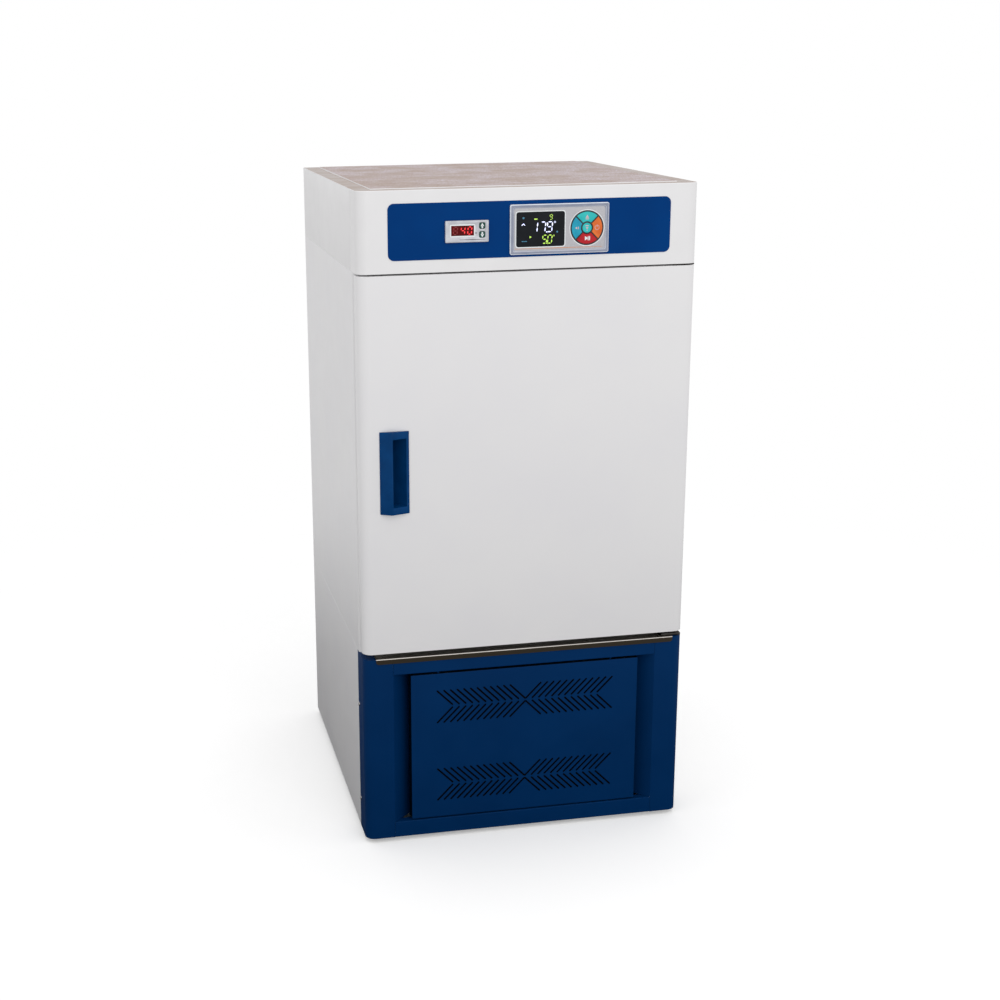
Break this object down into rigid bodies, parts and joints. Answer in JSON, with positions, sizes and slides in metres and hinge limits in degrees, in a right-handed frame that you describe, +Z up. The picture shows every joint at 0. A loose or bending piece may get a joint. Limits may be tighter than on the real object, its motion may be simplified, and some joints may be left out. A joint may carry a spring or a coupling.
{
  "type": "laboratory incubator",
  "caption": "Upright cooled laboratory incubator: insulated chamber with wire shelves behind a hinged door, controls in a fascia above, ventilated compressor base below.",
  "frame": {"origin": "middle of the footprint of the overall box, on the floor, under the levelling feet", "axes": "+Z up; -Y towards the door and the controls; +X to the right seen from the front, where the door is hinged"},
  "size_m": [0.5632, 0.6106, 1.1092],
  "materials": {
    "white_paint": "satin",
    "blue_paint": "satin",
    "galvanised": "satin",
    "stainless": "satin",
    "blue_overlay": "satin",
    "blue_plastic": "satin",
    "white_plastic": "satin",
    "black_plastic": "matte",
    "silver_plastic": "satin",
    "display_black": "gloss",
    "display_red": "gloss",
    "key_teal": "satin",
    "key_blue": "satin",
    "key_orange": "satin",
    "key_red": "satin",
    "key_green": "satin",
    "gasket_grey": "matte",
    "foam": "matte",
    "brass": "satin",
    "steel": "satin",
    "copper": "satin",
    "aluminium": "satin",
    "compressor_black": "satin",
    "rubber": "matte",
    "board_green": "satin"
  },
  "bodies": {
    "cabinet": {"base_pan": "galvanised", "base_rear_panel": "white_paint", "base_side_panels": "white_paint", "front_post_left": "blue_paint", "front_post_right": "blue_paint", "front_rails": "blue_paint", "front_grille": "blue_paint", "sill_plate": "stainless", "mains_inlet": "black_plastic", "power_switch_housing": "black_plastic", "cabinet_shell": "white_paint", "cabinet_front_frame": "white_plastic", "chamber_liner": "stainless", "insulation": "foam", "duct_panel": "stainless", "circulation_fan_motor": "aluminium", "evaporator": "aluminium", "heater_element": "steel", "temperature_probe": "steel", "shelf_supports": "stainless", "hinge_brackets": "steel", "head_front_panel": "white_paint", "head_shell": "white_paint", "top_lid": "white_paint", "fascia_overlay": "blue_overlay", "controller_bezel": "silver_plastic", "controller_window": "display_black", "controller_housing": "black_plastic", "thermostat_case": "silver_plastic", "thermostat_window": "display_red", "control_board": "board_green", "compressor_mounts": "rubber", "compressor": "compressor_black", "condenser": "aluminium", "condenser_fan_shroud": "galvanised", "refrigerant_pipes": "copper", "evaporation_tray": "black_plastic", "panel_screws": "steel"},
    "door": {"door_skin": "white_paint", "door_handle": "blue_plastic", "door_liner": "white_plastic", "door_foam": "foam", "door_gasket": "gasket_grey", "door_bushes": "brass"},
    "circulation_fan": {"circulation_fan_impeller": "aluminium"},
    "condenser_fan": {"condenser_fan_blade": "black_plastic"},
    "lower_shelf": {"shelf_lower": "steel"},
    "upper_shelf": {"shelf_upper": "steel"},
    "power_rocker": {"power_switch_rocker": "black_plastic"},
    "key_up": {"key_up": "key_teal"},
    "key_left": {"key_left": "key_blue"},
    "key_down": {"key_down": "key_red"},
    "key_right": {"key_right": "key_orange"},
    "key_centre": {"key_centre": "key_teal"},
    "thermostat_key_up": {"thermostat_key_up": "key_green"},
    "thermostat_key_down": {"thermostat_key_down": "key_green"},
    "foot_front_left": {"foot_front_left": "rubber"},
    "foot_front_right": {"foot_front_right": "rubber"},
    "foot_rear_left": {"foot_rear_left": "rubber"},
    "foot_rear_right": {"foot_rear_right": "rubber"}
  },
  "joints": [
    {"name": "door_hinge", "type": "hinge", "parent": "cabinet", "child": "door", "pos_m": [0.262, -0.2797, 0.346], "axis": [0, 0, 1], "range_deg": [0, 120]},
    {"name": "lower_shelf_slide", "type": "slide", "parent": "cabinet", "child": "lower_shelf", "axis": [0, -1, 0], "range_m": [0, 0.17]},
    {"name": "upper_shelf_slide", "type": "slide", "parent": "cabinet", "child": "upper_shelf", "axis": [0, -1, 0], "range_m": [0, 0.17]},
    {"name": "circulation_fan_spin", "type": "hinge", "parent": "cabinet", "child": "circulation_fan", "pos_m": [0, 0.1613, 0.8025], "axis": [0, 1, 0], "continuous": true},
    {"name": "condenser_fan_spin", "type": "hinge", "parent": "cabinet", "child": "condenser_fan", "pos_m": [-0.04, -0.1467, 0.1142], "axis": [0, 1, 0], "continuous": true},
    {"name": "power_rocker_tilt", "type": "hinge", "parent": "cabinet", "child": "power_rocker", "pos_m": [-0.145, 0.2983, 0.078], "axis": [1, 0, 0], "range_deg": [-16, 0]},
    {"name": "key_up_press", "type": "slide", "parent": "cabinet", "child": "key_up", "axis": [0, 1, 0], "range_m": [0, 0.0008], "stiffness_N_per_m": 900},
    {"name": "key_left_press", "type": "slide", "parent": "cabinet", "child": "key_left", "axis": [0, 1, 0], "range_m": [0, 0.0008], "stiffness_N_per_m": 900},
    {"name": "key_down_press", "type": "slide", "parent": "cabinet", "child": "key_down", "axis": [0, 1, 0], "range_m": [0, 0.0008], "stiffness_N_per_m": 900},
    {"name": "key_right_press", "type": "slide", "parent": "cabinet", "child": "key_right", "axis": [0, 1, 0], "range_m": [0, 0.0008], "stiffness_N_per_m": 900},
    {"name": "key_centre_press", "type": "slide", "parent": "cabinet", "child": "key_centre", "axis": [0, 1, 0], "range_m": [0, 0.0008], "stiffness_N_per_m": 900},
    {"name": "thermostat_key_up_press", "type": "slide", "parent": "cabinet", "child": "thermostat_key_up", "axis": [0, 1, 0], "range_m": [0, 0.0006], "stiffness_N_per_m": 900},
    {"name": "thermostat_key_down_press", "type": "slide", "parent": "cabinet", "child": "thermostat_key_down", "axis": [0, 1, 0], "range_m": [0, 0.0006], "stiffness_N_per_m": 900},
    {"name": "foot_front_left_screw_out", "type": "slide", "parent": "cabinet", "child": "foot_front_left", "axis": [0, 0, -1], "range_m": [0, 0.012]},
    {"name": "foot_front_right_screw_out", "type": "slide", "parent": "cabinet", "child": "foot_front_right", "axis": [0, 0, -1], "range_m": [0, 0.012]},
    {"name": "foot_rear_left_screw_out", "type": "slide", "parent": "cabinet", "child": "foot_rear_left", "axis": [0, 0, -1], "range_m": [0, 0.012]},
    {"name": "foot_rear_right_screw_out", "type": "slide", "parent": "cabinet", "child": "foot_rear_right", "axis": [0, 0, -1], "range_m": [0, 0.012]}
  ],
  "couplings": [
    {"joint": "lower_shelf_slide", "follows": "door_hinge", "m_per_rad": 0.08},
    {"joint": "upper_shelf_slide", "follows": "door_hinge", "m_per_rad": 0.08}
  ]
}
